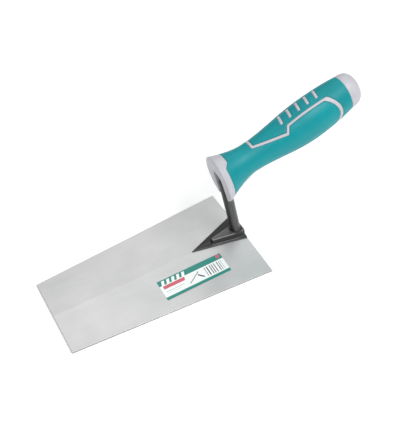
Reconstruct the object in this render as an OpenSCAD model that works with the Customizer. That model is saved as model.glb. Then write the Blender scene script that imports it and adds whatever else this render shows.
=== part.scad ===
// Finishing trowel with a wide, tapered, lightly folded blade, a forged gooseneck shank and a two-tone
// overmoulded handle. Millimetres, +Z up. +X runs from the blade's toe towards the handle's rear end.
// The origin is the middle of the trowel's footprint, on the surface that the blade rests on.

/* [Blade] */
// Length from the toe edge to the heel edge
blade_len = 180; // [120:1:260]
// Width at the heel, across both wings
heel_w = 98; // [70:1:130]
// Width at the toe, across both wings
toe_w = 72; // [50:1:120]
// Thickness of the spring steel sheet
sheet = 1.2; // [0.8:0.1:2]
// Slope of each wing down from the centre crease, in degrees
fold = 2.5; // [1:0.5:8]

/* [Forging] */
// Length of the foot ahead of the heel edge
foot_len = 52; // [36:1:70]
// Half width of the foot at the heel edge
foot_half_w = 14.5; // [12:0.5:22]
// Angle of the foot's outline off the crease, towards the far wing, in degrees
foot_turn = 4.5; // [0:0.5:6]
// Thickness of the foot at its outer edges
foot_edge = 1.2; // [0.8:0.1:2.5]
// Height of the foot's two sloping faces where they meet the rib
foot_crown = 3.2; // [2:0.1:4.5]
// Height of the rib's flat top above the crease
rib_h = 6.4; // [5:0.1:9]
// Distance from the heel edge to the rib's front end
rib_len = 31; // [24:1:35]
// Diameter of the round shank
shank_d = 9; // [6:0.5:11]
// Distance from the heel edge to the shank's centre at the foot
shank_set = 5.5; // [5:0.5:9]
// Lean of the shank towards the toe, in degrees from upright
shank_lean = 14; // [5:1:25]
// Radius of the gooseneck's centre line
bend_r = 12; // [8:0.5:14]
// Diameter of the tang inside the handle
tang_d = 8; // [5:0.5:9]
// Length of the straight tang behind the gooseneck
tang_len = 66; // [40:1:75]

/* [Handle] */
// Distance from the collar's face to the rear end of the cap, along the handle
handle_len = 134.4; // [125:0.2:162]
// Height of the collar face's centre above the crease
handle_rise = 82.6; // [70:1:110]
// Distance that the collar face's centre stands ahead of the heel edge
handle_lead = 30.9; // [27:0.5:36]
// Upward slope of the handle, in degrees
pitch = 19.6; // [10:0.5:30]
// Turn of the handle about its own axis, its top towards the far wing, in degrees
roll = 15; // [0:1:20]
// Height of every handle section divided by its width
oval = 1.15; // [1:0.01:1.3]
// Width at the collar
collar_w = 37; // [34:0.5:44]
// Width at the neck
neck_w = 22; // [20:0.5:28]
// Distance of the neck behind the collar's face
neck_at = 29; // [24:1:36]
// Width at the belly
belly_w = 31.2; // [28:0.2:38]
// Distance of the belly behind the collar's face
belly_at = 86; // [78:1:95]
// Width where the rear cap begins
tail_w = 26.4; // [24:0.2:31]
// Length of the rear cap's dome
cap_len = 12.6; // [8:0.2:16]
// Droop of the belly below the straight axis
droop = 1.5; // [0:0.1:3]

/* [Collar] */
// Rake of the collar's face from square to the handle, in degrees
collar_rake = 7; // [0:1:12]
// Width of the collar band along its sides
collar_band = 6; // [4:0.5:9]
// Length of the tab on top of the handle behind the collar band
tab_len = 3.3; // [1:0.1:5]
// Half width of that tab at its root
tab_half_w = 9.8; // [5:0.2:11]
// Width of the slot that the shank rises through
slot_w = 13; // [12:0.5:16]
// Height of the slot's arch above the handle's axis
slot_top = 6; // [5.5:0.5:8]
// Depth of the slot behind the collar's face
slot_depth = 10; // [9:0.5:13]

/* [Grip] */
// Thickness of the soft grip over the core
grip_t = 2.4; // [1.5:0.1:3.5]
// Width of the flush inlay line between the two grips
inlay_w = 2.4; // [1.5:0.1:4]
// Distance of the inlay's front end behind the collar's face
nose_at = 34.5; // [30:0.5:45]
// Half width of the top panel at its front end
nose_half_w = 4.9; // [2.5:0.1:6]
// Distance of the top panel's widest point behind the collar's face
step_at = 63; // [55:1:72]
// Half width of the top panel at its widest point
step_half_w = 12.3; // [10:0.1:13]
// Half width of the top panel behind the step
spine_half_w = 9.4; // [7:0.1:11]
// Distance of the rear curve's centre behind the collar's face
sweep_at = 92; // [84:1:96]
// Height of the rear curve's centre above the handle's axis
sweep_rise = -1.6; // [-4:0.2:4]
// Radius of the inlay's rear curve
sweep_r = 17.8; // [15:0.2:19]
// Number of slanted bars on the spine
bars = 5; // [0:1:6]
// Width of each slanted bar
bar_w = 2.6; // [1.5:0.1:4]

/* [Label] */
// Length of the paper label
label_len = 62; // [40:1:80]
// Height of the paper label across the wing
label_h = 19.5; // [12:0.5:26]
// Thickness of the paper label
label_t = 0.2; // [0.1:0.05:0.4]
// Distance from the heel edge to the label
label_set = 31; // [20:1:50]
// Distance from the crease to the label
label_drop = 12; // [8:0.5:18]

/* [Fits] */
// Clearance round the tang and gooseneck in the core
tang_gap = 0.1; // [0.05:0.05:0.3]
// Diameter of the cap's spigot
spigot_d = 15; // [10:0.5:18]
// Length of the cap's spigot
spigot_len = 14; // [8:1:20]
// Clearance round the spigot in the core
spigot_gap = 0.05; // [0.03:0.01:0.2]

/* [Hidden] */

blade_col = [0.80, 0.81, 0.82];
forging_col = [0.13, 0.13, 0.14];
core_col = [0.76, 0.76, 0.80];
grip_col = [0.10, 0.58, 0.60];
label_col = [0.93, 0.95, 0.94];

// Facets round the handle, lofts along it, and how far cutting shapes overshoot
sides = 28;
rings = 22;
over = 40;
// Depth to which one forged length is sunk into the next, and the same on the gooseneck in degrees
bury = 0.8;
bury_turn = 2;
// Distance that the handle's lofts start ahead of the collar's face
lead_in = 5;
// Powers of the collar's flare and of the taper towards the cap
flare_pow = 1.6;
tail_pow = 2.2;
// Amount by which a buried forged length is thinner than its neighbour
slack = 0.1;
// Fullness of the rear cap's dome: 1 is an ellipse, less is squarer
dome_pow = 0.714;
// Margin of the rib round the shank
rib_wall = 0.8;
// Widening of the inlay line along its rear curve
sweep_gain = 1.3;
// Spine bars: from the panel's widest point, to the cap, sideways lean, and from the inlay line
bar_start = 0.5;
bar_end = 16;
bar_slant = 1.2;
bar_margin = 3.1;
// Facets of round sections, of the bend and of the rear curve
fine = 48;
bend_facets = 64;
sweep_facets = 40;
cap_at = handle_len - cap_len;

// The crease is the top of the roof formed by the two wings
crease_z = heel_w / 2 * tan(fold) + sheet;
// Overhang of the handle behind the heel edge
reach_pow = 2 / (2 - dome_pow);
cap_rise = tail_w / 2 * sqrt(pow(oval * cos(roll), 2) + pow(sin(roll), 2)) * sin(pitch);
cap_reach = pow(pow(cap_len * cos(pitch), reach_pow) + pow(cap_rise, reach_pow), 1 / reach_pow);
overhang = cap_at * cos(pitch) - handle_lead + cap_reach;
heel_x = (blade_len - overhang) / 2;

// Corner where the shank's and the tang's centre lines meet, from the heel edge and the crease
lean_k = tan(shank_lean);
pitch_k = tan(pitch);
corner_x = -(shank_set + lean_k * (handle_rise + pitch_k * handle_lead)) / (1 + lean_k * pitch_k);
corner_z = handle_rise + pitch_k * (corner_x + handle_lead);
turn = 90 + shank_lean - pitch;
tangent = bend_r * tan(turn / 2);
shank_len = (corner_z / cos(shank_lean)) - tangent;
// The same corner measured along the handle
corner_s = (corner_x + handle_lead) / cos(pitch);
tang_from = corner_s + tangent;

// --- Handle profile ---------------------------------------------------------------------------

function ease(t) = (1 - cos(180 * t)) / 2;
function flare(s) = pow(1 - max(s, 0) / neck_at, flare_pow);
function swell(s) = ease((s - neck_at) / (belly_at - neck_at));
function waist(s) = pow((s - belly_at) / (cap_at - belly_at), tail_pow);
function half_w(s) =
    s < neck_at ? neck_w / 2 + (collar_w - neck_w) / 2 * flare(s)
    : s < belly_at ? neck_w / 2 + (belly_w - neck_w) / 2 * swell(s)
    : belly_w / 2 - (belly_w - tail_w) / 2 * waist(s);
function axis_v(s) = s < neck_at ? 0 : -droop * sin(180 * min(1, (s - neck_at) / (cap_at - neck_at)));

// One oval ring of the handle's skin, drawn in by inset
function ring(s, inset) = [
    for (k = [0 : sides - 1])
        [s, (half_w(s) - inset) * sin(360 * k / sides),
         axis_v(s) + (half_w(s) * oval - inset) * cos(360 * k / sides)]
];

// Triangles of a closed tube of n rings
function tube_faces(n) = concat(
    [[for (k = [0 : sides - 1]) k]],
    [[for (k = [sides - 1 : -1 : 0]) (n - 1) * sides + k]],
    [for (i = [0 : n - 2], k = [0 : sides - 1])
        [i * sides + k, (i + 1) * sides + k, i * sides + (k + 1) % sides]],
    [for (i = [0 : n - 2], k = [0 : sides - 1])
        [i * sides + (k + 1) % sides, (i + 1) * sides + k, (i + 1) * sides + (k + 1) % sides]]
);

// Solid with the handle's outer shape between two distances from the collar's face, in short lofts
module body(from, to, inset) {
    step = (to - from) / rings;
    for (i = [0 : rings - 1])
        hull()
            polyhedron(
                concat(ring(from + step * i, inset), ring(from + step * (i + 1), inset)),
                tube_faces(2)
            );
}

// --- Places -----------------------------------------------------------------------------------

module at_heel() {
    translate([heel_x, 0, crease_z])
        children();
}

module at_handle() {
    at_heel()
        translate([-handle_lead, 0, handle_rise])
            rotate([0, -pitch, 0])
                children();
}

// The handle's own moulded shapes are turned about its axis; the tang is not
module at_grip() {
    at_handle()
        rotate([-roll, 0, 0])
            children();
}

// Turns a drawing in distance and height into a wall across the whole handle
module across_handle() {
    translate([0, over, 0])
        rotate([90, 0, 0])
            linear_extrude(height = 2 * over)
                children();
}

// --- Blade ------------------------------------------------------------------------------------

// Folded sheet across the blade, as wide as the heel
module sheet_section() {
    half = heel_w / 2;
    fall = half * tan(fold);
    polygon([
        [-half, -fall], [0, 0], [half, -fall],
        [half, -fall - sheet], [0, -sheet], [-half, -fall - sheet]
    ]);
}

module blade() {
    color(blade_col)
        at_heel()
            intersection() {
                rotate([90, 0, -90])
                    linear_extrude(height = blade_len)
                        sheet_section();
                translate([0, 0, -over])
                    linear_extrude(height = 2 * over)
                        polygon([
                            [0, -heel_w / 2], [0, heel_w / 2],
                            [-blade_len, toe_w / 2], [-blade_len, -toe_w / 2]
                        ]);
            }
}

// Everything below the blade's upper surface, under the foot
module below_sheet() {
    rise = over * tan(fold);
    translate([over, 0, 0])
        rotate([90, 0, -90])
            linear_extrude(height = 3 * over)
                polygon([[-over, -rise], [0, 0], [over, -rise], [over, -over], [-over, -over]]);
}

// --- Forging ----------------------------------------------------------------------------------

// Spearhead outline of the foot, turned about its tip
module foot_outline(half, length) {
    translate([-foot_len, 0])
        rotate(foot_turn)
            polygon([[0, 0], [length, -half], [length, half]]);
}

module foot() {
    tip = foot_half_w / 6;
    intersection() {
        hull() {
            translate([0, 0, -foot_half_w * tan(fold)])
                linear_extrude(height = foot_edge)
                    foot_outline(foot_half_w, foot_len + tip);
            translate([-rib_len, 0, 0])
                linear_extrude(height = foot_crown)
                    polygon([[0, 0], [rib_len, -shank_d / 2], [rib_len, shank_d / 2]]);
        }
        translate([-foot_len - over, -over, -over])
            cube([foot_len + over, 2 * over, 2 * over]);
    }
}

// Wedge-shaped rib that carries the shank
module rib() {
    nose = shank_d / 8;
    wall = rib_wall;
    hull() {
        linear_extrude(height = foot_crown)
            polygon([
                [-rib_len - wall, -nose - wall], [-shank_set, -shank_d / 2 - 2 * wall],
                [0, -shank_d / 2 - 2 * wall], [0, shank_d / 2 + 2 * wall],
                [-shank_set, shank_d / 2 + 2 * wall], [-rib_len - wall, nose + wall]
            ]);
        linear_extrude(height = rib_h)
            polygon([
                [-rib_len, -nose], [-shank_set, -shank_d / 2 - wall],
                [-wall, -shank_d / 2 - wall], [-wall, shank_d / 2 + wall],
                [-shank_set, shank_d / 2 + wall], [-rib_len, nose]
            ]);
    }
}

// Straight part of the shank, from the foot up to the bend
module shank_rise(extra) {
    translate([-shank_set, 0, 0])
        rotate([0, -shank_lean, 0])
            cylinder(h = shank_len, d = shank_d + 2 * extra, $fn = fine);
}

// Cone that fillets the shank into the rib, sunk into the shank at its top
module shank_root() {
    translate([-shank_set, 0, 0])
        rotate([0, -shank_lean, 0])
            cylinder(h = 2 * rib_h, d1 = shank_d + rib_h, d2 = shank_d - bury, $fn = fine);
}

// Gooseneck, drawn in the handle's own axes, with its ends buried in its neighbours
module gooseneck(extra) {
    translate([tang_from, 0, -bend_r])
        rotate([90, 0, 0])
            rotate_extrude(angle = turn + bury_turn, start = 90, $fn = bend_facets)
                translate([bend_r, 0])
                    circle(d = shank_d - slack + 2 * extra, $fn = fine);
}

// Straight tang with a tapered point
module tang(extra) {
    point = tang_d / 2;
    reach = tang_len + bury;
    r = tang_d / 2 + extra;
    translate([tang_from - bury, 0, 0])
        rotate([0, 90, 0])
            rotate_extrude($fn = fine)
                polygon([[0, 0], [r, 0], [r, reach - point], [point / 2, reach], [0, reach]]);
}

module shank() {
    color(forging_col) {
        at_heel() {
            difference() {
                union() {
                    foot();
                    rib();
                    shank_root();
                }
                below_sheet();
                translate([0, -over, -over])
                    cube(2 * over);
            }
            difference() {
                shank_rise(0);
                below_sheet();
            }
        }
        at_handle() {
            gooseneck(0);
            tang(0);
        }
    }
}

// --- Handle -----------------------------------------------------------------------------------

// Keeps what lies behind the collar's raked face, moved back by back
module behind_face(back) {
    lean = over * tan(collar_rake);
    across_handle()
        polygon([
            [back - lean, -over], [back + lean, over],
            [handle_len + over, over], [handle_len + over, -over]
        ]);
}

// Tab on top of the handle that steps back from the collar band
module collar_tab() {
    root = collar_band + tan(collar_rake) * half_w(collar_band) * oval;
    reach = root + tab_len;
    linear_extrude(height = over)
        polygon([
            [-over, -tab_half_w], [root, -tab_half_w], [reach, -tab_half_w + tab_len],
            [reach, tab_half_w - tab_len], [root, tab_half_w], [-over, tab_half_w]
        ]);
}

// Open-bottomed slot with an arched top
module slot() {
    r = slot_w / 2;
    translate([-over, 0, 0])
        rotate([90, 0, 90])
            linear_extrude(height = over + slot_depth) {
                translate([0, slot_top - r])
                    circle(r = r, $fn = fine);
                translate([-r, -over])
                    square([slot_w, over + slot_top - r]);
            }
}

// Top panel seen from above, grown by grow
module panel_outline(grow) {
    offset(delta = grow)
        polygon([
            [nose_at, -nose_half_w], [step_at, -step_half_w],
            [step_at + step_half_w - spine_half_w, -spine_half_w], [cap_at, -spine_half_w],
            [cap_at, spine_half_w], [step_at + step_half_w - spine_half_w, spine_half_w],
            [step_at, step_half_w], [nose_at, nose_half_w]
        ]);
}

// Rear region seen from the side, grown by grow
module sweep_outline(grow) {
    offset(delta = grow)
        difference() {
            translate([sweep_at, -over])
                square([handle_len + over - sweep_at, 2 * over]);
            translate([sweep_at, sweep_rise])
                circle(r = sweep_r, $fn = sweep_facets);
        }
}

// Space of the upper grip: the top panel and all that lies behind the rear curve
module upper_zone(grow) {
    linear_extrude(height = over)
        panel_outline(grow);
    across_handle()
        sweep_outline(grow * sweep_gain);
}

module spine_bars() {
    first = step_at + bar_start;
    gap = (cap_at - bar_end - first) / max(bars, 1);
    half = spine_half_w - inlay_w / 2 - bar_margin;
    for (i = [0 : bars - 1])
        translate([first + gap * i, 0, 0])
            linear_extrude(height = over)
                polygon([
                    [-bar_slant, -half], [bar_w - bar_slant, -half],
                    [bar_w + bar_slant, half], [bar_slant, half]
                ]);
}

// Rigid core: collar, inlay line and spine bars stand up to the grips' surface
module handle_core() {
    color(core_col)
        difference() {
            at_grip()
                core_moulding();
            pocket();
        }
}

module core_moulding() {
    difference() {
        union() {
            intersection() {
                body(-lead_in, cap_at, grip_t);
                behind_face(bury);
            }
            intersection() {
                body(-lead_in, cap_at, 0);
                behind_face(0);
                core_outside();
            }
        }
        slot();
        translate([cap_at - spigot_len - spigot_gap, 0, 0])
            rotate([0, 90, 0])
                cylinder(h = over, d = spigot_d + 2 * spigot_gap, $fn = fine);
    }
}

// Where the core reaches the handle's skin: the collar, the inlay line and the spine bars
module core_outside() {
    difference() {
        across_handle()
            translate([-over, -over])
                square([2 * over, 2 * over]);
        behind_face(collar_band);
    }
    collar_tab();
    difference() {
        upper_zone(inlay_w / 2);
        upper_zone(-inlay_w / 2);
    }
    spine_bars();
}

// Room for the shank, the gooseneck and the tang, with their clearance
module pocket() {
    at_heel()
        shank_rise(tang_gap);
    at_handle() {
        gooseneck(tang_gap);
        tang(tang_gap);
    }
}

// Ring of soft material round the core, behind the collar
module grip_shell() {
    difference() {
        body(-lead_in, cap_at, 0);
        body(-lead_in, cap_at, grip_t);
        collar_tab();
        slot();
    }
}

module lower_grip() {
    color(grip_col)
        difference() {
            at_grip()
                difference() {
                    intersection() {
                        grip_shell();
                        behind_face(collar_band);
                    }
                    upper_zone(inlay_w / 2);
                }
            pocket();
        }
}

module upper_grip() {
    color(grip_col)
        at_grip()
            difference() {
                intersection() {
                    grip_shell();
                    upper_zone(-inlay_w / 2);
                }
                spine_bars();
            }
}

// Domed rear plug with a spigot that seats in the core
module end_cap() {
    color(core_col)
        at_grip() {
            translate([cap_at - spigot_len, 0, 0])
                rotate([0, 90, 0])
                    cylinder(h = spigot_len + 1, d = spigot_d, $fn = fine);
            dome();
        }
}

module dome() {
    steps = 8;
    dome_turn = 86;
    pts = [for (i = [0 : steps])
        let (a = dome_turn * i / steps)
        let (s = cap_at + cap_len * pow(sin(a), dome_pow), f = pow(cos(a), dome_pow))
        for (k = [0 : sides - 1])
            [s, tail_w / 2 * f * sin(360 * k / sides), tail_w / 2 * oval * f * cos(360 * k / sides)]];
    hull()
        polyhedron(pts, tube_faces(steps + 1));
}

// --- Label ------------------------------------------------------------------------------------

module label() {
    color(label_col)
        at_heel()
            rotate([fold, 0, 0])
                translate([-label_set - label_len, -label_drop - label_h, 0])
                    cube([label_len, label_h, label_t]);
}

blade();
shank();
handle_core();
lower_grip();
upper_grip();
end_cap();
label();
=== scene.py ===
"""Looks of a trowel with a creased blade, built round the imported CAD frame. Sizes are in millimetres."""

import math

import bpy
import numpy as np
from mathutils import Matrix, Vector


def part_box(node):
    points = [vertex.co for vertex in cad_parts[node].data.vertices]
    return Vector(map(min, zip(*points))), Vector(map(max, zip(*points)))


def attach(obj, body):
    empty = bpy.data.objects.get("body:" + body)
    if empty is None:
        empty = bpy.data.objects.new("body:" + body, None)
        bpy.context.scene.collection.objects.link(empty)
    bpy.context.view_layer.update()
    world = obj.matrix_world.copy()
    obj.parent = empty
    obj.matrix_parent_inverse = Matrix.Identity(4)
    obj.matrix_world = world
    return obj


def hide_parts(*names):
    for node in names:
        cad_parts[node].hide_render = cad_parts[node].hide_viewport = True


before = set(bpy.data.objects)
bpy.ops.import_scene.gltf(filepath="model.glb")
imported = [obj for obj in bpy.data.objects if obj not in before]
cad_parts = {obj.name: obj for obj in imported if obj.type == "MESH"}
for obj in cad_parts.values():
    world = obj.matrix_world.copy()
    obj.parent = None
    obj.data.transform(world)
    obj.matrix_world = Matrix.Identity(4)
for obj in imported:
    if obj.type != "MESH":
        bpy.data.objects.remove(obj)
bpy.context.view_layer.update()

MM = 0.001
# Field value that stands for well outside, gap between moulded pieces, and gap to the rear cap
OUTSIDE = 9.0
SEAM = 0.03
CAP_GAP = 0.1

# --- Places, read from the CAD ------------------------------------------------------------------

blade_low, blade_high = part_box("blade")
HEEL = np.array([blade_high.x, 0.0, blade_high.z]) / MM
BLADE_LEN = (blade_high.x - blade_low.x) / MM
HEEL_HALF = blade_high.y / MM
TOE_HALF = 36.0
SHEET = 1.2
FOLD = math.radians(2.5)

# Handle: its collar face's centre from the heel end of the crease, and its slope
HANDLE_AT = np.array([-30.9, 0.0, 82.6])
PITCH = math.radians(19.6)
ROLL = math.radians(15.0)
OVAL = 1.15
# Length round the skin per millimetre of half width and radian, for an oval this tall
OVAL_GIRTH = 1.07
NECK_AT, BELLY_AT, CAP_AT = 29.0, 86.0, 121.8
COLLAR_HALF, NECK_HALF, BELLY_HALF, TAIL_HALF = 18.5, 11.0, 15.6, 13.2
FLARE_POWER, TAIL_POWER = 1.6, 2.2
DROOP = 1.5
CAP_LEN, CAP_POWER, CAP_LAP = 12.6, 2.8, 0.9
RAKE = math.radians(7.0)
BAND = 6.0
TAB_HALF, TAB_LEN = 9.8, 3.3
SLOT_HALF, SLOT_TOP, SLOT_DEPTH = 6.5, 6.0, 10.0
PLUG_END = 11.6
GRIP = 2.2
INLAY_DEPTH = 3.0
INLAY_HALF = 1.2
# Top panel: places along the handle, and distances round the skin from its top
NOSE_AT, NOSE_GIRTH = 34.5, 5.4
STEP_AT, STEP_GIRTH = 63.0, 16.0
SPINE_AT, SPINE_GIRTH = 66.5, 10.8
PAST_END, PAST_TOP = 190.0, -40.0
SWEEP_AT, SWEEP_RISE, SWEEP_R, SWEEP_GAIN = 92.0, -1.6, 17.8, 1.3
BARS = 5
BAR_HALF, BAR_LEAN, BAR_REACH = 1.3, 1.2, 5.1
BAR_FROM, BAR_END = STEP_AT + 0.5, 16.0
BAR_AT = BAR_FROM + BAR_HALF
BAR_STEP = (CAP_AT - BAR_END - BAR_FROM) / BARS

# Forging
SHANK_R, SHANK_SET, TANG_R, TANG_LEN = 4.5, 5.5, 4.0, 66.0
LEAN = math.radians(14.0)
BEND_R = 12.0
FOOT_LEN, FOOT_HALF, FOOT_EDGE, FOOT_TURN = 52.0, 14.5, 1.2, math.radians(4.5)
FOOT_SLOPE = 0.165
RIB_LEN, RIB_TOP, RIB_NOSE, RIB_WALL = 31.0, 6.3, 1.1, 0.8
RIB_SIDE_SLOPE, RIB_TOP_SLOPE = 0.25, 0.03

# Label: its height, and how far it starts from the crease
LABEL_HEIGHT, LABEL_FROM = 19.5, 12.0

# Camera: where it stands from the heel end of the crease, its view and its lens
CAMERA_AT = (-234.5, -281.8, 454.3)
CAMERA_AZIMUTH = math.radians(-33.819)
CAMERA_ELEVATION = math.radians(49.908)
CAMERA_ROLL = math.radians(3.481)
LENS = 55.19

TURN = math.pi / 2 + LEAN - PITCH
TANGENT = BEND_R * math.tan(TURN / 2)
CORNER_X = -(SHANK_SET + math.tan(LEAN) * (HANDLE_AT[2] - math.tan(PITCH) * HANDLE_AT[0]))
CORNER_X /= 1 + math.tan(LEAN) * math.tan(PITCH)
CORNER_Z = HANDLE_AT[2] + math.tan(PITCH) * (CORNER_X - HANDLE_AT[0])
SHANK_LEN = CORNER_Z / math.cos(LEAN) - TANGENT
TANG_FROM = (CORNER_X - HANDLE_AT[0]) / math.cos(PITCH) + TANGENT


def from_handle(points):
    """Points along, across and above the handle's axis, in the row frame and metres."""
    along, side, up = points[:, 0], points[:, 1], points[:, 2]
    x = HANDLE_AT[0] + along * math.cos(PITCH) - up * math.sin(PITCH)
    z = HANDLE_AT[2] + along * math.sin(PITCH) + up * math.cos(PITCH)
    return (np.stack([x, side, z], 1) + HEEL) * MM


def from_grip(points):
    """The same for the handle's moulded shapes, which are turned about its axis."""
    along, side, up = points[:, 0], points[:, 1], points[:, 2]
    c, s = math.cos(ROLL), math.sin(ROLL)
    return from_handle(np.stack([along, side * c + up * s, up * c - side * s], 1))


def from_heel(points):
    """Points measured from the heel end of the crease, in the row frame and metres."""
    return (points + HEEL) * MM


# --- Solids from fields -------------------------------------------------------------------------

CORNERS = np.array([(i, j, k) for i in (0, 1) for j in (0, 1) for k in (0, 1)])
EDGES = [(a, b) for a in range(8) for b in range(a + 1, 8)
         if abs(CORNERS[a] - CORNERS[b]).sum() == 1]


def smooth_max(a, b, k):
    """The larger of two fields, with the corner between them rounded over k."""
    h = np.maximum(k - np.abs(a - b), 0) / k
    return np.maximum(a, b) + h * h * k / 4


def grid_cell():
    """Spacing of the grid that solids are grown on."""
    return 0.42


def smooth_min(a, b, k):
    return -smooth_max(-a, -b, k)


def polygon_distance(x, y, corners):
    """Signed distance in a plane to a polygon, negative inside."""
    x, y = np.broadcast_arrays(x, y)
    nearest = np.full(x.shape, 1e9)
    inside = np.zeros(x.shape, bool)
    for (ax, ay), (bx, by) in zip(corners, corners[1:] + corners[:1]):
        dx, dy = bx - ax, by - ay
        t = np.clip(((x - ax) * dx + (y - ay) * dy) / (dx * dx + dy * dy), 0, 1)
        nearest = np.minimum(nearest, np.hypot(x - ax - t * dx, y - ay - t * dy))
        if dy != 0:
            crosses = (ay > y) != (by > y)
            inside ^= crosses & (x < ax + (y - ay) * dx / dy)
    return np.where(inside, -nearest, nearest)


def crossing_cells(values):
    """The grid cells that the zero surface passes through, and their numbers."""
    inside = values < 0
    n = np.array(values.shape) - 1
    total = np.zeros(n, np.int8)
    for i, j, k in CORNERS:
        total += inside[i:i + n[0], j:j + n[1], k:k + n[2]]
    active = (total > 0) & (total < 8)
    number = np.full(n, -1)
    number[active] = np.arange(active.sum())
    return np.argwhere(active), number, inside


def cell_points(values, cells):
    """One point in each cell, at the middle of where the zero surface cuts its edges."""
    v = [values[tuple((cells + c).T)] for c in CORNERS]
    total = np.zeros((len(cells), 3))
    count = np.zeros(len(cells))
    for a, b in EDGES:
        cut = (v[a] < 0) != (v[b] < 0)
        t = np.where(cut, v[a] / np.where(cut, v[a] - v[b], 1), 0)
        total += np.where(cut[:, None], CORNERS[a] + t[:, None] * (CORNERS[b] - CORNERS[a]), 0)
        count += cut
    return cells + total / count[:, None]


def cell_quads(inside, number):
    """The four-sided faces that join neighbouring cells, with their normals outward."""
    quads = []
    for axis in range(3):
        a, b = (axis + 1) % 3, (axis + 2) % 3
        here = np.moveaxis(inside, (axis, a, b), (0, 1, 2))
        cell = np.moveaxis(number, (axis, a, b), (0, 1, 2))
        start = here[:-1, 1:-1, 1:-1]
        change = np.argwhere(start != here[1:, 1:-1, 1:-1])
        outward = start[tuple(change.T)]
        p = change + (0, 1, 1)
        ring = [cell[tuple((p - step).T)] for step in ((0, 1, 1), (0, 0, 1), (0, 0, 0), (0, 1, 0))]
        quad = np.stack(ring, 1)
        quads.append(np.where(outward[:, None], quad, quad[:, ::-1]))
    return np.concatenate(quads)


def settle(points, field, cell):
    """Moves each point onto the field's zero surface."""
    h = cell * 0.05
    for _ in range(3):
        p = points.T
        value = field(*p)
        slope = np.stack([(field(*(p + d)) - field(*(p - d))) / (2 * h)
                          for d in np.eye(3)[:, :, None] * h], 1)
        size = np.maximum((slope ** 2).sum(1), 0.05)
        move = -value[:, None] * slope / size[:, None]
        points = points + np.clip(move, -cell / 2, cell / 2)
    return points


def solid(field, low, high, cell):
    """Points and faces of the closed surface where a field is zero."""
    low = np.array(low, float)
    counts = [int(math.ceil((b - a) / cell)) + 1 for a, b in zip(low, high)]
    axes = [a + cell * np.arange(n) for a, n in zip(low, counts)]
    grid = (axes[0][:, None, None], axes[1][None, :, None], axes[2][None, None, :])
    values = np.broadcast_to(field(*grid), counts)
    cells, number, inside = crossing_cells(values)
    points = low + cell * cell_points(values, cells)
    return settle(points, field, cell), cell_quads(inside, number)


# --- Objects ------------------------------------------------------------------------------------

def make_piece(name, points, faces, material, smooth=True):
    """A mesh object from points in metres, with one material or a list of them."""
    mesh = bpy.data.meshes.new(name)
    mesh.from_pydata(points.tolist(), [], [list(map(int, f)) for f in faces])
    mesh.update()
    for m in material if isinstance(material, list) else [material]:
        mesh.materials.append(m)
    mesh.polygons.foreach_set("use_smooth", [smooth] * len(mesh.polygons))
    piece = bpy.data.objects.new(name, mesh)
    bpy.context.scene.collection.objects.link(piece)
    return piece


def hand_over(piece, node):
    """The piece stands for a CAD node: it is attached to the root body and the node is hidden."""
    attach(piece, "root")
    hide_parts(node)


# --- Materials ----------------------------------------------------------------------------------

def start_material(name, colour, metallic, roughness):
    material = bpy.data.materials.new(name)
    material.use_nodes = True
    shader = material.node_tree.nodes["Principled BSDF"]
    shader.inputs["Base Color"].default_value = (*colour, 1)
    shader.inputs["Metallic"].default_value = metallic
    shader.inputs["Roughness"].default_value = roughness
    return material, material.node_tree, shader


def noise(tree, scale, stretch=(1, 1, 1), detail=4):
    """Noise in the object's own space, stretched along its axes."""
    place = tree.nodes.new("ShaderNodeTexCoord")
    mapping = tree.nodes.new("ShaderNodeMapping")
    mapping.inputs["Scale"].default_value = stretch
    texture = tree.nodes.new("ShaderNodeTexNoise")
    texture.inputs["Scale"].default_value = scale
    texture.inputs["Detail"].default_value = detail
    tree.links.new(place.outputs["Object"], mapping.inputs["Vector"])
    tree.links.new(mapping.outputs["Vector"], texture.inputs["Vector"])
    return texture.outputs["Fac"]


def ramp(tree, value, stops):
    """A colour ramp over a value; each stop is a place and a colour or a grey."""
    node = tree.nodes.new("ShaderNodeValToRGB")
    elements = node.color_ramp.elements
    while len(elements) < len(stops):
        elements.new(0.5)
    for element, (place, colour) in zip(elements, stops):
        element.position = place
        element.color = (*colour, 1) if isinstance(colour, tuple) else (colour,) * 3 + (1,)
    tree.links.new(value, node.inputs["Fac"])
    return node.outputs["Color"]


def blend_colours(tree, mode, factor, first, second):
    node = tree.nodes.new("ShaderNodeMix")
    node.data_type = "RGBA"
    node.blend_type = mode
    node.inputs["Factor"].default_value = factor
    tree.links.new(first, node.inputs["A"])
    tree.links.new(second, node.inputs["B"])
    return node.outputs["Result"]


def bump(tree, shader, height, strength, distance, under=None):
    node = tree.nodes.new("ShaderNodeBump")
    node.inputs["Strength"].default_value = strength
    node.inputs["Distance"].default_value = distance
    tree.links.new(height, node.inputs["Height"])
    if under is not None:
        tree.links.new(under, node.inputs["Normal"])
    tree.links.new(node.outputs["Normal"], shader.inputs["Normal"])
    return node.outputs["Normal"]


def ground_steel():
    """Satin ground sheet: faint cloudy patches under fine lengthwise grain."""
    material, tree, shader = start_material("ground_steel", (0.6, 0.6, 0.6), 0.5, 0.4)
    clouds = ramp(tree, noise(tree, 22, detail=3), [(0.3, (0.575, 0.578, 0.58)), (0.7, (0.66, 0.66, 0.66))])
    grain = ramp(tree, noise(tree, 60, (1, 40, 40), 6), [(0.3, 0.88), (0.7, 1.0)])
    colour = blend_colours(tree, "MULTIPLY", 0.7, clouds, grain)
    tree.links.new(colour, shader.inputs["Base Color"])
    gloss = ramp(tree, noise(tree, 35, (1, 6, 6)), [(0.25, 0.36), (0.75, 0.44)])
    tree.links.new(gloss, shader.inputs["Roughness"])
    bump(tree, shader, noise(tree, 90, (1, 45, 45), 6), 0.12, 0.00004)
    return material


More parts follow.
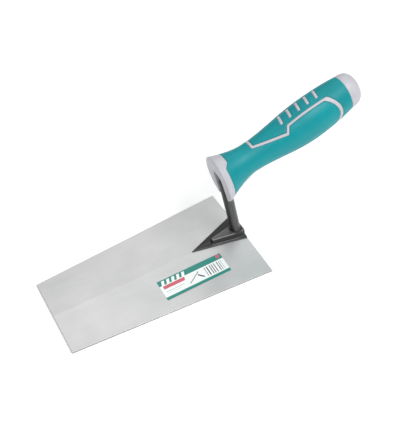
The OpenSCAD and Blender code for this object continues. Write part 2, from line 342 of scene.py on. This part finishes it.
def painted_shade_edge():
    """Sheared edge of the sheet, coloured near black as painted shade."""
    material, tree, shader = start_material("painted_shade_edge", (0.05, 0.05, 0.05), 0.6, 0.5)
    # Painted shade: a near-black colour stands in for the shade on the thin edge faces.
    shade = ramp(tree, noise(tree, 900), [(0.3, 0.02), (0.75, 0.09)])
    tree.links.new(shade, shader.inputs["Base Color"])
    bump(tree, shader, noise(tree, 300, (1, 1, 14)), 0.3, 0.00005)
    return material


def black_coat():
    """Satin black coating on forged steel, with a painted highlight along the rib's rim and fainter painted
    light on its flat top.
    """
    material, tree, shader = start_material("black_coat", (0.02, 0.02, 0.02), 0.0, 0.34)
    patch = ramp(tree, noise(tree, 120), [(0.3, (0.010, 0.010, 0.011)), (0.75, (0.020, 0.020, 0.021))])
    # Painted highlight: colour lifted along the rib's rim and on its flat top, standing in for light caught
    # there.
    highlight_attribute = tree.nodes.new("ShaderNodeAttribute")
    highlight_attribute.attribute_name = "painted_highlight"
    painted_highlight = ramp(tree, highlight_attribute.outputs["Fac"], [(0.0, 0.0), (0.3, 0.07), (1.0, 0.30)])
    highlight_mottle = ramp(tree, noise(tree, 260, detail=5), [(0.3, 0.55), (0.7, 1.0)])
    colour = blend_colours(tree, "ADD", 1.0, patch, blend_colours(tree, "MULTIPLY", 0.6, painted_highlight, highlight_mottle))
    tree.links.new(colour, shader.inputs["Base Color"])
    gloss = ramp(tree, noise(tree, 240), [(0.3, 0.28), (0.75, 0.42)])
    tree.links.new(gloss, shader.inputs["Roughness"])
    shader.inputs["Specular IOR Level"].default_value = 0.6
    skin = bump(tree, shader, noise(tree, 700, detail=2), 0.25, 0.00008)
    bump(tree, shader, noise(tree, 90, detail=2), 0.25, 0.0003, skin)
    return material


def grey_plastic():
    """Light grey moulded plastic with a fine spark-eroded grain."""
    material, tree, shader = start_material("grey_plastic", (0.5, 0.5, 0.54), 0.0, 0.45)
    tone = ramp(tree, noise(tree, 60), [(0.3, (0.49, 0.49, 0.53)), (0.7, (0.55, 0.55, 0.59))])
    speck = ramp(tree, noise(tree, 3000, detail=2), [(0.35, 0.92), (0.6, 1.0)])
    tree.links.new(blend_colours(tree, "MULTIPLY", 0.6, tone, speck), shader.inputs["Base Color"])
    gloss = ramp(tree, noise(tree, 400), [(0.3, 0.40), (0.7, 0.52)])
    tree.links.new(gloss, shader.inputs["Roughness"])
    bump(tree, shader, noise(tree, 2400, detail=2), 0.2, 0.00005)
    return material


def soft_teal(name, low, high):
    """Satin soft-touch rubber: fine matt grain, slow mottling and patches of gloss."""
    material, tree, shader = start_material(name, high, 0.0, 0.42)
    tone = ramp(tree, noise(tree, 45, detail=3), [(0.3, low), (0.7, high)])
    speck = ramp(tree, noise(tree, 2600, detail=2), [(0.3, 0.86), (0.62, 1.0)])
    tree.links.new(blend_colours(tree, "MULTIPLY", 0.7, tone, speck), shader.inputs["Base Color"])
    gloss = ramp(tree, noise(tree, 70), [(0.3, 0.38), (0.7, 0.5)])
    tree.links.new(gloss, shader.inputs["Roughness"])
    shader.inputs["Specular IOR Level"].default_value = 0.26
    bump(tree, shader, noise(tree, 2000, detail=2), 0.28, 0.00006)
    return material


def printed(name, colour):
    """Semi-gloss printed paper with fibres showing through the ink."""
    material, tree, shader = start_material(name, colour, 0.0, 0.38)
    pale = tuple(min(1.0, c * 1.08 + 0.01) for c in colour)
    fibre = ramp(tree, noise(tree, 1400, (1, 3, 1)), [(0.35, colour), (0.7, pale)])
    tree.links.new(fibre, shader.inputs["Base Color"])
    bump(tree, shader, noise(tree, 900, (1, 3, 1)), 0.15, 0.00003)
    return material


def floor_white():
    material, tree, shader = start_material("floor_white", (0.9, 0.9, 0.9), 0.0, 0.8)
    tone = ramp(tree, noise(tree, 3), [(0.3, 0.895), (0.7, 0.905)])
    tree.links.new(tone, shader.inputs["Base Color"])
    shader.inputs["Emission Color"].default_value = (1, 1, 1, 1)
    shader.inputs["Emission Strength"].default_value = 0.25
    return material


# --- Handle's skin ------------------------------------------------------------------------------

def half_width(s):
    """Half the handle's width at a distance behind the collar's face."""
    spread = (COLLAR_HALF - NECK_HALF) * np.power(1 - np.clip(s, 0, NECK_AT) / NECK_AT, FLARE_POWER)
    flare = NECK_HALF + spread
    t = np.clip((s - NECK_AT) / (BELLY_AT - NECK_AT), 0, 1)
    swell = NECK_HALF + (BELLY_HALF - NECK_HALF) * (1 - np.cos(np.pi * t)) / 2
    w = np.clip((s - BELLY_AT) / (CAP_AT - BELLY_AT), 0, 1)
    waist = BELLY_HALF - (BELLY_HALF - TAIL_HALF) * np.power(w, TAIL_POWER)
    return np.where(s < NECK_AT, flare, np.where(s < BELLY_AT, swell, waist))


def skin(s, y, v):
    """About the distance outside the handle's oval skin."""
    half = half_width(s)
    tall = half * OVAL
    t = np.clip((s - NECK_AT) / (CAP_AT - NECK_AT), 0, 1)
    up = v + DROOP * np.sin(np.pi * t)
    k = np.sqrt((y / half) ** 2 + (up / tall) ** 2) + 1e-6
    slope = np.sqrt((y / half ** 2) ** 2 + (up / tall ** 2) ** 2) + 1e-6
    return k * (k - 1) / slope


def collar_zone(s, y, v):
    """Negative on the collar band and on its tab."""
    band = (s - BAND - v * math.tan(RAKE)) * math.cos(RAKE)
    root = BAND + math.tan(RAKE) * half_width(BAND) * OVAL
    side = np.abs(y)
    tab = np.maximum(side - TAB_HALF, s - root - TAB_LEN)
    tab = smooth_max(tab, (side + s - root - TAB_HALF) / math.sqrt(2), 0.8)
    tab = np.where(v > 0, tab, OUTSIDE)
    return smooth_min(band, tab, 1.6)


def girth(s, y, v):
    """Distance round the skin from the top of the handle, on either side."""
    return half_width(s) * OVAL_GIRTH * np.arctan2(np.abs(y), v / OVAL)


def upper_zone(s, y, v, grow):
    """Negative inside the top panel and behind the rear curve, both grown by grow."""
    panel = polygon_distance(s, girth(s, y, v), [
        (NOSE_AT, PAST_TOP), (NOSE_AT, NOSE_GIRTH), (STEP_AT, STEP_GIRTH),
        (SPINE_AT, SPINE_GIRTH), (PAST_END, SPINE_GIRTH), (PAST_END, PAST_TOP)
    ])
    sweep = np.maximum(SWEEP_AT - s, SWEEP_R - np.hypot(s - SWEEP_AT, v - SWEEP_RISE))
    return smooth_min(panel - grow, sweep - SWEEP_GAIN * grow, 0.8)


def bars_zone(s, y, v):
    """Negative on the slanted bars along the spine."""
    out = np.full(np.broadcast(s, y, v).shape, OUTSIDE)
    for i in range(BARS):
        middle = BAR_AT + BAR_STEP * i + BAR_LEAN * y / BAR_REACH
        out = np.minimum(out, np.maximum(np.abs(s - middle) - BAR_HALF, np.abs(y) - BAR_REACH))
    return np.where(v > 0, out, OUTSIDE)


def slot_zone(s, y, v):
    """Negative in the arched slot that the shank rises through."""
    middle = SLOT_TOP - SLOT_HALF
    arch = np.where(v > middle, np.hypot(y, v - middle), np.abs(y)) - SLOT_HALF
    return np.maximum(arch, s - SLOT_DEPTH)


def shank_room(s, y, v):
    """Negative where the straight shank passes, given in the mouldings' turned axes."""
    c, t = math.cos(ROLL), math.sin(ROLL)
    side, up = y * c + v * t, v * c - y * t
    dx = s * math.cos(PITCH) - up * math.sin(PITCH) + HANDLE_AT[0]
    dz = s * math.sin(PITCH) + up * math.cos(PITCH) + HANDLE_AT[2]
    off = (dx + SHANK_SET) * math.cos(LEAN) + dz * math.sin(LEAN)
    return np.where(up < -6, np.hypot(off, side) - SHANK_R - 0.12, OUTSIDE)


def core_field(s, y, v):
    """Collar with its slot, inlay line and spine bars."""
    outer = skin(s, y, v)
    collar = smooth_max(outer, collar_zone(s, y, v), 0.6)
    plug = smooth_max(np.minimum(collar, outer + GRIP + 0.05), s - PLUG_END, 0.5)
    line = np.maximum(upper_zone(s, y, v, INLAY_HALF), -upper_zone(s, y, v, -INLAY_HALF))
    proud = np.minimum(line, bars_zone(s, y, v)) + SEAM
    strip = smooth_max(smooth_max(outer, proud, 0.5), -outer - INLAY_DEPTH, 0.5)
    strip = np.maximum(strip, s - CAP_AT + CAP_GAP)
    face = (v * math.tan(RAKE) - s) * math.cos(RAKE)
    whole = smooth_max(np.minimum(plug, strip), face, 1.5)
    whole = smooth_max(whole, -slot_zone(s, y, v), 0.9)
    return np.maximum(whole, -shank_room(s, y, v))


def lower_grip_field(s, y, v):
    """Soft grip in front of the rear curve and round the top panel."""
    outer = skin(s, y, v)
    zone = np.maximum(-collar_zone(s, y, v), -upper_zone(s, y, v, INLAY_HALF)) + SEAM
    shell = smooth_max(smooth_max(outer, zone, 0.7), -outer - GRIP, 0.3)
    shell = smooth_max(shell, -slot_zone(s, y, v), 0.8)
    return np.maximum(shell, -shank_room(s, y, v))


def upper_grip_field(s, y, v):
    """Soft grip of the top panel and the rear, with the spine bars cut through it."""
    outer = skin(s, y, v)
    zone = np.maximum(upper_zone(s, y, v, -INLAY_HALF), -bars_zone(s, y, v)) + SEAM
    shell = smooth_max(smooth_max(outer, zone, 0.7), -outer - GRIP, 0.3)
    return smooth_max(shell, s - CAP_AT + CAP_GAP, 0.7)


def cap_field(s, y, v):
    """Domed rear cap with a softened front rim."""
    a = np.maximum(s - CAP_AT, 0) / CAP_LEN
    b = np.hypot(y / TAIL_HALF, v / (TAIL_HALF * OVAL))
    reach = np.power(a ** CAP_POWER + b ** CAP_POWER, 1 / CAP_POWER)
    dome = (reach - 1) * (CAP_LEN + 2 * b)
    return smooth_max(dome, CAP_AT - CAP_LAP - s, 0.8)


# --- Forging's field ----------------------------------------------------------------------------

def foot_field(x, y, z):
    """Spearhead foot: two faces that slope from a middle ridge to thin edges."""
    c, s = math.cos(FOOT_TURN), math.sin(FOOT_TURN)
    along = (x + FOOT_LEN) * c + y * s
    across = -(x + FOOT_LEN) * s + y * c
    reach = FOOT_LEN + 4
    half = FOOT_HALF * reach / FOOT_LEN
    plan = polygon_distance(along, across, [(0, 0), (reach, -half), (reach, half)])
    top = z + np.abs(y) * math.tan(FOLD) - FOOT_EDGE + FOOT_SLOPE * plan
    return smooth_max(smooth_max(plan, top, 0.5), x + 0.05, 0.5)


def rib_faces(x, y, z):
    """Distances outside the rib's sloping sides and outside its flat top."""
    half = SHANK_R + RIB_WALL
    plan = polygon_distance(x, y, [
        (-RIB_LEN, -RIB_NOSE), (-SHANK_SET - 2.5, -half), (2.0, -half),
        (2.0, half), (-SHANK_SET - 2.5, half), (-RIB_LEN, RIB_NOSE)
    ])
    return (plan - (RIB_TOP - z) * RIB_SIDE_SLOPE) * 0.97, z - RIB_TOP - (x + 18) * RIB_TOP_SLOPE


def rib_field(x, y, z):
    """Flat-topped wedge that carries the shank."""
    side, top = rib_faces(x, y, z)
    return smooth_max(smooth_max(side, top, 0.3), x + 0.6, 0.5)


def painted_rib_highlight(points):
    """How strongly highlight is painted on the coat at each point: a lot along the rib's rim, a little on
    its flat top.
    """
    x, y, z = points.T
    side, top = rib_faces(x, y, z)
    rim = np.exp(-((np.abs(side) + np.abs(top)) / 0.55) ** 2)
    flat = 0.32 * (np.abs(top) < 0.35) * np.clip(-side / 0.6, 0, 1)
    clear = np.clip((shank_field(x, y, z) - 0.8) / 1.2, 0, 1)
    return np.maximum(rim, flat) * clear


def shank_field(x, y, z):
    """Round shank and gooseneck."""
    up = (x + SHANK_SET) * -math.sin(LEAN) + z * math.cos(LEAN)
    off = (x + SHANK_SET) * math.cos(LEAN) + z * math.sin(LEAN)
    past = np.maximum(np.maximum(-up, up - SHANK_LEN), 0)
    rise = np.sqrt(off ** 2 + y ** 2 + past ** 2) - SHANK_R
    dx, dz = x - HANDLE_AT[0], z - HANDLE_AT[2]
    s = dx * math.cos(PITCH) + dz * math.sin(PITCH)
    v = dz * math.cos(PITCH) - dx * math.sin(PITCH)
    turned = np.arctan2(v + BEND_R, s - TANG_FROM) - math.pi / 2
    beyond = np.maximum(np.maximum(-turned, turned - TURN), 0) * BEND_R
    ring = np.hypot(np.hypot(s - TANG_FROM, v + BEND_R) - BEND_R, y) - SHANK_R
    bend = np.where(v > -BEND_R - 6, np.maximum(ring, beyond), OUTSIDE)
    return np.minimum(rise, bend)


def forging_field(x, y, z):
    """Foot, rib and shank blended into one forging, cut flush with the heel and the blade's top."""
    base = smooth_min(foot_field(x, y, z), rib_field(x, y, z), 0.9)
    whole = smooth_min(base, shank_field(x, y, z), 2.2)
    whole = smooth_max(whole, x + 0.05, 0.5)
    under = (-np.abs(y) * math.tan(FOLD) - z) * math.cos(FOLD)
    return np.maximum(whole, under)


# --- Pieces -------------------------------------------------------------------------------------

def add_forging(material):
    points, faces = solid(forging_field, (-53.5, -16.5, -2.0), (0.9, 18.5, 100.5), grid_cell())
    # Painted highlight strength at each point, carried to the coat's colour as a point attribute.
    painted_highlight = painted_rib_highlight(points)
    pin_points, pin_faces = tang_mesh(len(points))
    painted_highlight = np.concatenate([painted_highlight, np.zeros(len(pin_points))])
    points = np.concatenate([from_heel(points), pin_points])
    piece = make_piece("forged_shank", points, list(faces) + pin_faces, material)
    marks = piece.data.attributes.new("painted_highlight", "FLOAT", "POINT")
    marks.data.foreach_set("value", painted_highlight.astype(np.float32))
    hand_over(piece, "shank")


def tang_mesh(first):
    """The straight tang inside the core, with a tapered point."""
    sides = 32
    stations = [(-2, 0.6), (-1.4, 3.6), (0, TANG_R)]
    stations += [(TANG_LEN - 4, TANG_R), (TANG_LEN - 0.4, 2.3), (TANG_LEN, 1.6)]
    rows = []
    for along, radius in stations:
        for k in range(sides):
            a = 2 * math.pi * k / sides
            rows.append((TANG_FROM + along, radius * math.sin(a), radius * math.cos(a)))
    faces = []
    for i in range(len(stations) - 1):
        for k in range(sides):
            a, b = i * sides + k, i * sides + (k + 1) % sides
            faces.append([first + j for j in (a, b, b + sides, a + sides)])
    faces.append([first + k for k in reversed(range(sides))])
    faces.append([first + (len(stations) - 1) * sides + k for k in range(sides)])
    return from_handle(np.array(rows, float)), faces


def add_grown(name, field, low, high, material):
    """A piece of the handle, grown from its field between two corners in the handle's axes."""
    points, faces = solid(field, low, high, grid_cell())
    return make_piece(name, from_grip(points), faces, material)


def add_core(material):
    piece = add_grown("handle_core_shell", core_field, (-3.2, -19.5, -23.0), (123, 19.5, 23.0), material)
    hand_over(piece, "handle_core")


def add_lower_grip(material):
    piece = add_grown("soft_grip_lower", lower_grip_field, (2.0, -19.0, -22.0), (113, 19.0, 22.0), material)
    hand_over(piece, "lower_grip")


def add_upper_grip(material):
    piece = add_grown("soft_grip_upper", upper_grip_field, (33, -17, -20), (123.5, 17, 20), material)
    hand_over(piece, "upper_grip")


def add_cap(material):
    piece = add_grown("rear_cap", cap_field, (119.5, -14.5, -16.5), (135.8, 14.5, 16.5), material)
    hand_over(piece, "end_cap")


def add_blade(steel, edge):
    """Tapered sheet with a sharp crease; its edges are a material of their own, coloured dark as painted
    shade.
    """
    stations, across = 24, 12
    points, faces, marks = [], [], []
    for i in range(stations + 1):
        t = i / stations
        half = HEEL_HALF + (TOE_HALF - HEEL_HALF) * t
        for side in (0, 1):
            for j in range(-across, across + 1):
                y = half * j / across
                points.append((-BLADE_LEN * t, y, -abs(y) * math.tan(FOLD) - SHEET * side))
    row = 2 * across + 1
    step = 2 * row
    for i in range(stations):
        for j in range(row - 1):
            a = i * step + j
            faces += [[a, a + 1, a + 1 + step, a + step]]
            faces += [[a + row, a + row + step, a + row + 1 + step, a + row + 1]]
            marks += [0, 0]
        a, b = i * step, i * step + row - 1
        faces += [[a, a + step, a + step + row, a + row], [b, b + row, b + step + row, b + step]]
        marks += [1, 1]
    last = stations * step
    for j in range(row - 1):
        faces += [[j, j + row, j + row + 1, j + 1]]
        faces += [[last + j, last + j + 1, last + j + 1 + row, last + j + row]]
        marks += [1, 1]
    piece = make_piece("blade_sheet", from_heel(np.array(points, float)), faces, [steel, edge], smooth=False)
    piece.data.polygons.foreach_set("material_index", marks)
    bevel = piece.modifiers.new("edge_break", "BEVEL")
    bevel.width = 0.22 * MM
    bevel.segments = 2
    bevel.limit_method = "ANGLE"
    bevel.angle_limit = math.radians(40)
    hand_over(piece, "blade")


def label_ink(u, w, length, height):
    """Which ink covers a place on the label: 0 white, 1 green, 2 red, 3 dark, 4 grey."""
    if (u - length + 3.4) ** 2 + (w - height + 1.9) ** 2 < 1.9 ** 2:
        return 2
    if w < 2.7:
        return 1
    if w > height - 5.2:
        slant = u - (w - height + 5.2) * 0.35
        if 2.5 < u < 26 and w < height - 1.0 and (slant % 4.8) > 2.2:
            return 0
        return 1
    if 2.5 < u < 25 - (height - w) * 0.3 and height - 9.2 < w < height - 6.0:
        return 2
    if 3 < u < 20 and abs(w - 7.6) < 0.25 or 3 < u < 16 and abs(w - 5.6) < 0.2:
        return 4
    return label_sketch(u, w, length, height)


def label_sketch(u, w, length, height):
    """A small line drawing of a tool, and an even row of bars."""
    if 42 < u < length - 3.5 and 4.0 < w < height - 6.4:
        widths = (0.6, 1.5, 0.9, 2.1, 0.7, 1.3)
        place = (u - 42) % sum(widths)
        for k, width in enumerate(widths):
            if place < width:
                return 3 if k % 2 == 0 else 0
            place -= width
    stroke = abs((w - 5.0) - (u - 24.5) * 0.62)
    if 24.5 < u < 36 and stroke < 0.35:
        return 3
    if 34.2 < u < 38.8 and abs((w - 9.4) + (u - 34.2) * 0.9) < 0.9:
        return 3
    return 0


def add_label(inks):
    """Thin paper label, very slightly lifted at its corners, with printed areas."""
    low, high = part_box("label")
    length = (high.x - low.x) / MM
    height = LABEL_HEIGHT
    left = low.x / MM - HEEL[0]
    cell = 0.25
    cols, rows = int(round(length / cell)), int(round(height / cell))
    points, faces, marks = [], [], []
    for i in range(cols + 1):
        for j in range(rows + 1):
            u, w = length * i / cols, height * j / rows
            over = max(abs(u - length / 2) - length / 2 + 4, 0)
            above = max(abs(w - height / 2) - height / 2 + 4, 0)
            far = math.hypot(over, above)
            lift = 0.16 + 0.02 * max(far - 3.5, 0) ** 2 + 0.012 * math.sin(u * 0.55) * math.sin(w * 0.8)
            y = -LABEL_FROM - height + w
            points.append((left + u, y * math.cos(FOLD) + lift * math.sin(FOLD), y * math.sin(FOLD) + lift))
    for i in range(cols):
        for j in range(rows):
            a = i * (rows + 1) + j
            faces.append([a, a + rows + 1, a + rows + 2, a + 1])
            marks.append(label_ink(length * (i + 0.5) / cols, height * (j + 0.5) / rows, length, height))
    piece = make_piece("paper_label", from_heel(np.array(points, float)), faces, inks)
    piece.data.polygons.foreach_set("material_index", marks)
    thick = piece.modifiers.new("paper", "SOLIDIFY")
    thick.thickness = 0.12 * MM
    thick.offset = -1
    hand_over(piece, "label")


# --- Camera, floor and lights -------------------------------------------------------------------

def view_axes(azimuth, elevation, roll):
    """A view's right, up and back directions; azimuth 0 looks from the near side."""
    back = Vector((math.sin(azimuth) * math.cos(elevation), -math.cos(azimuth) * math.cos(elevation),
                   math.sin(elevation)))
    level = Vector((math.cos(azimuth), math.sin(azimuth), 0))
    above = back.cross(level)
    right = level * math.cos(roll) + above * math.sin(roll)
    return right, back.cross(right), back


def add_camera():
    """Camera at the photographed angle."""
    data = bpy.data.cameras.new("camera")
    data.sensor_width = 36
    data.lens = LENS
    data.clip_start, data.clip_end = 0.01, 20
    camera = bpy.data.objects.new("camera", data)
    bpy.context.scene.collection.objects.link(camera)
    right, up, back = view_axes(CAMERA_AZIMUTH, CAMERA_ELEVATION, CAMERA_ROLL)
    place = from_heel(np.array([CAMERA_AT]))[0]
    camera.matrix_world = Matrix.Translation(place) @ Matrix((
        (right.x, up.x, back.x, 0), (right.y, up.y, back.y, 0), (right.z, up.z, back.z, 0), (0, 0, 0, 1)
    ))
    bpy.context.scene.camera = camera


def add_floor(material):
    size, steps = 6.0, 8
    grid = np.linspace(-size, size, steps + 1)
    row = steps + 1
    points = np.array([(x, y, -0.0002) for x in grid for y in grid])
    corners = [i * row + j for i in range(steps) for j in range(steps)]
    faces = [[a, a + row, a + row + 1, a + 1] for a in corners]
    make_piece("floor", points, faces, material, smooth=False)


def add_lamp(name, azimuth, elevation, distance, size, power):
    """Area lamp aimed at the middle of the object."""
    back = view_axes(math.radians(azimuth), math.radians(elevation), 0)[2]
    data = bpy.data.lights.new(name, "AREA")
    data.shape = "DISK"
    data.size = size
    data.energy = power
    lamp = bpy.data.objects.new(name, data)
    lamp.rotation_mode = "QUATERNION"
    lamp.location = Vector((0, 0, 0.05)) + back * distance
    lamp.rotation_quaternion = (-back).to_track_quat("-Z", "Y")
    bpy.context.scene.collection.objects.link(lamp)


def add_world():
    """Soft studio surround, brightest overhead and dimmer towards the horizon."""
    world = bpy.data.worlds.new("studio")
    world.use_nodes = True
    tree = world.node_tree
    place = tree.nodes.new("ShaderNodeTexCoord")
    split = tree.nodes.new("ShaderNodeSeparateXYZ")
    tree.links.new(place.outputs["Generated"], split.inputs["Vector"])
    glow = ramp(tree, split.outputs["Z"], [(0.0, 0.40), (0.66, 0.50), (0.80, 1.0), (1.0, 1.0)])
    tree.links.new(glow, tree.nodes["Background"].inputs["Color"])
    tree.nodes["Background"].inputs["Strength"].default_value = 0.8
    bpy.context.scene.world = world


def add_lights():
    add_world()
    bpy.context.scene.view_settings.view_transform = "Standard"
    add_lamp("key", 14, 58, 2.0, 1.0, 22)
    add_lamp("back", 150, 60, 2.6, 2.4, 9)


def add_everything():
    add_camera()
    add_floor(floor_white())
    add_lights()
    grey = grey_plastic()
    teal = soft_teal("soft_teal_lower", (0.002, 0.275, 0.31), (0.003, 0.32, 0.355))
    teal_top = soft_teal("soft_teal_upper", (0.002, 0.255, 0.285), (0.003, 0.30, 0.33))
    add_blade(ground_steel(), painted_shade_edge())
    add_forging(black_coat())
    add_core(grey)
    add_lower_grip(teal)
    add_upper_grip(teal_top)
    add_cap(grey)
    add_label([
        printed("ink_white", (0.84, 0.88, 0.87)), printed("ink_green", (0.015, 0.23, 0.19)),
        printed("ink_red", (0.58, 0.11, 0.15)), printed("ink_dark", (0.05, 0.055, 0.06)),
        printed("ink_grey", (0.42, 0.45, 0.45))
    ])


add_everything()
